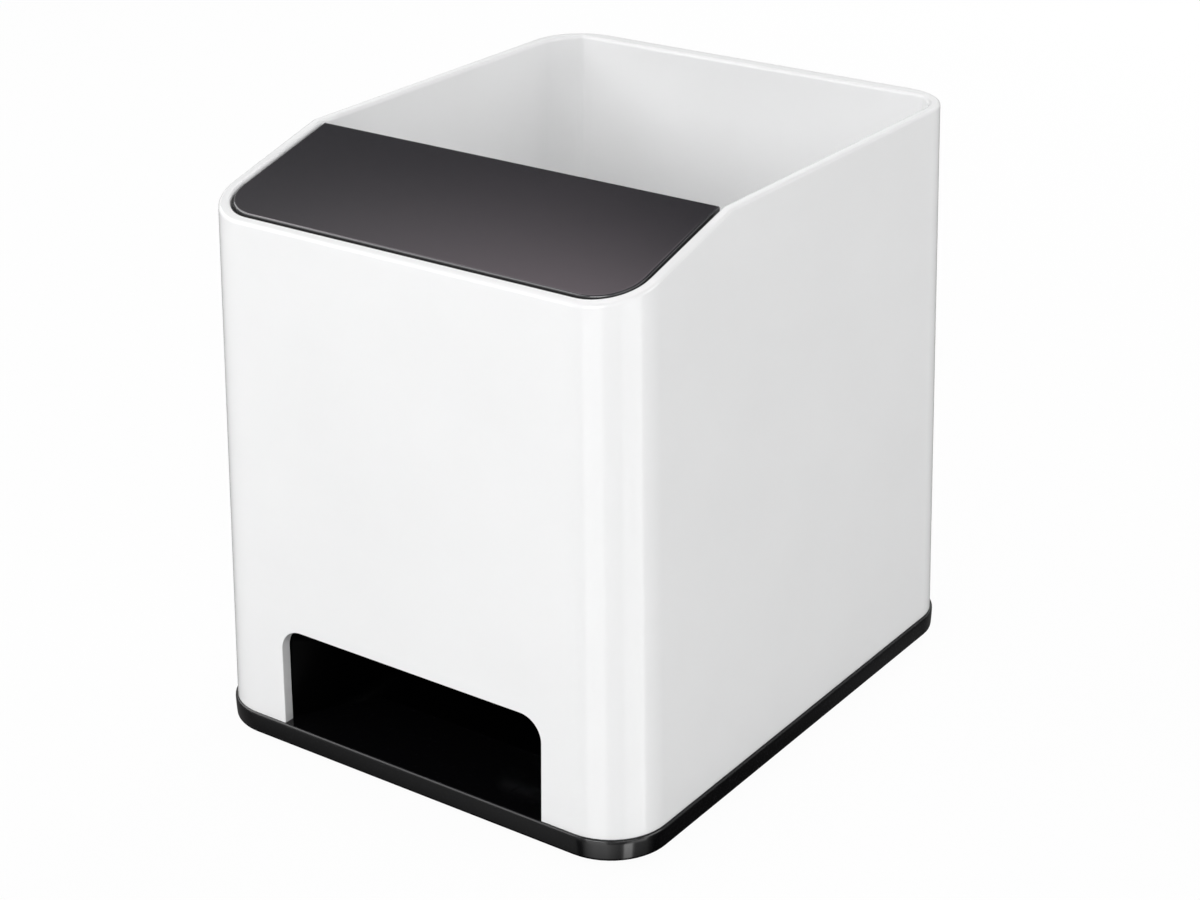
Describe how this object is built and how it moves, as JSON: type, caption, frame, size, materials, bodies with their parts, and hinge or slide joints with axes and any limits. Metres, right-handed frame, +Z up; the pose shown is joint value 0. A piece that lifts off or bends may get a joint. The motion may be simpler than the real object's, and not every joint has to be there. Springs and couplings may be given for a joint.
{
  "type": "pen holder",
  "caption": "Rounded-square desk pen holder with a sloped dark panel, a telephone slot behind it and a sound horn that opens in a wide mouth at the front foot.",
  "frame": {"origin": "on the table, under the middle of the base", "axes": "+Z up, the front with the mouth faces -Y, +X to the right as seen from the front"},
  "size_m": [0.0882, 0.1068, 0.1008],
  "materials": {
    "shell_white": "glossy moulded white plastic",
    "panel_anthracite": "satin anthracite plastic with a very fine grain",
    "base_black": "glossy moulded black plastic",
    "horn_black": "glossy moulded black plastic",
    "cradle_white": "satin moulded white plastic",
    "pad_rubber": "matte soft rubber",
    "screw_zinc": "zinc-plated steel"
  },
  "bodies": {
    "root": {"outer_shell": "shell_white", "sloped_panel": "panel_anthracite", "base_tray": "base_black", "sound_horn": "horn_black", "inner_cradle": "cradle_white", "foot_pad_front_left": "pad_rubber", "foot_pad_front_right": "pad_rubber", "foot_pad_back_left": "pad_rubber", "foot_pad_back_right": "pad_rubber", "base_screw_front_left": "screw_zinc", "base_screw_front_right": "screw_zinc", "base_screw_back_left": "screw_zinc", "base_screw_back_right": "screw_zinc"}
  },
  "joints": []
}
